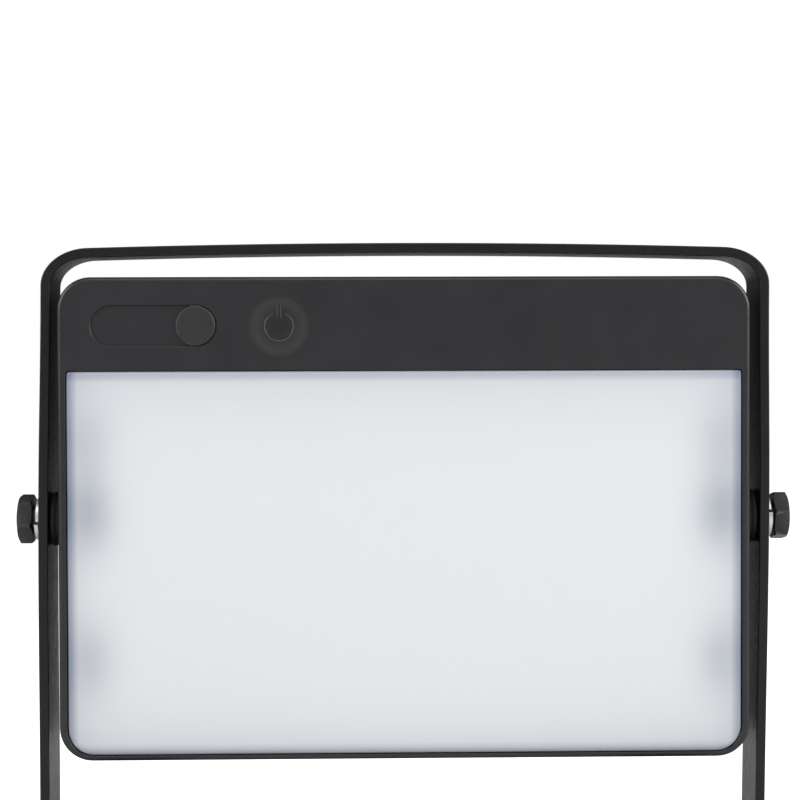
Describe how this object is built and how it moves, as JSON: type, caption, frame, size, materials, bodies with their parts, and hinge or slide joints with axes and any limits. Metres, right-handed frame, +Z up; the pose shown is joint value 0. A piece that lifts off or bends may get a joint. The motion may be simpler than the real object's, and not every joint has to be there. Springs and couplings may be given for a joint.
{
  "type": "portable led work light",
  "caption": "Rectangular lamp head with an opal diffuser, sliding dimmer and push button, tilting between two hex bolts in a flat steel loop that is both handle and stand.",
  "frame": {"origin": "on the floor, midway between the four rubber feet, in the loop's middle plane", "axes": "+Z up, the lamp's face looks along -Y, +X to the right as seen from the front, along the tilt axis"},
  "size_m": [0.2848, 0.175, 0.2456],
  "materials": {
    "powder_coat": "fine-textured black powder coat",
    "housing_plastic": "fine-grained black plastic",
    "control_plastic": "satin black plastic",
    "cover_plastic": "fine-grained black plastic",
    "opal_diffuser": "milky opal, satin",
    "reflector_white": "white satin",
    "rubber": "matt black rubber",
    "black_steel": "blackened steel, slightly worn",
    "zinc_steel": "bright zinc plate",
    "brass": "turned brass",
    "aluminium": "milled",
    "circuit_board": "green solder mask",
    "white_board": "white solder mask",
    "battery_wrap": "shrink wrap",
    "magnet": "nickel plate"
  },
  "bodies": {
    "stand": {"stand_loop": "powder_coat", "foot_left": "powder_coat", "foot_screw_left_1": "zinc_steel", "foot_nut_left_1": "zinc_steel", "foot_screw_left_2": "zinc_steel", "foot_nut_left_2": "zinc_steel", "foot_pad_left_front": "rubber", "foot_pad_left_rear": "rubber", "foot_right": "powder_coat", "foot_screw_right_1": "zinc_steel", "foot_nut_right_1": "zinc_steel", "foot_screw_right_2": "zinc_steel", "foot_nut_right_2": "zinc_steel", "foot_pad_right_front": "rubber", "foot_pad_right_rear": "rubber"},
    "head": {"front_housing": "housing_plastic", "rear_cover": "cover_plastic", "cover_gasket": "rubber", "diffuser": "opal_diffuser", "diffuser_seal": "rubber", "reflector": "reflector_white", "led_board": "white_board", "heat_spreader": "aluminium", "battery_left": "battery_wrap", "battery_right": "battery_wrap", "battery_strap": "zinc_steel", "control_board": "circuit_board", "driver_board": "circuit_board", "power_switch": "cover_plastic", "charge_socket": "cover_plastic", "flap_pin": "zinc_steel", "pivot_insert_left": "brass", "pivot_spacer_left": "rubber", "split_washer_left": "zinc_steel", "pivot_bolt_left": "black_steel", "pivot_insert_right": "brass", "pivot_spacer_right": "rubber", "split_washer_right": "zinc_steel", "pivot_bolt_right": "black_steel", "cover_screw_1": "zinc_steel", "cover_screw_2": "zinc_steel", "cover_screw_3": "zinc_steel", "cover_screw_4": "zinc_steel", "cover_screw_5": "zinc_steel", "cover_screw_6": "zinc_steel", "board_screw_1": "zinc_steel", "board_screw_2": "zinc_steel", "board_screw_3": "zinc_steel", "board_screw_4": "zinc_steel"},
    "dimmer": {"dimmer_knob": "control_plastic", "knob_magnet": "magnet"},
    "power": {"power_button": "housing_plastic", "switch_plunger": "reflector_white"},
    "flap": {"port_flap": "rubber"}
  },
  "joints": [
    {"name": "head_tilt", "type": "hinge", "parent": "stand", "child": "head", "pos_m": [0, 0, 0.145], "axis": [1, 0, 0], "continuous": true},
    {"name": "dimmer_slide", "type": "slide", "parent": "head", "child": "dimmer", "axis": [1, 0, 0], "range_m": [-0.03, 0]},
    {"name": "power_press", "type": "slide", "parent": "head", "child": "power", "axis": [0, 1, 0], "range_m": [0, 0.0006], "stiffness_N_per_m": 2500},
    {"name": "flap_open", "type": "hinge", "parent": "head", "child": "flap", "pos_m": [0.055, 0.0295, 0.0963], "axis": [1, 0, 0], "range_deg": [0, 110]}
  ]
}
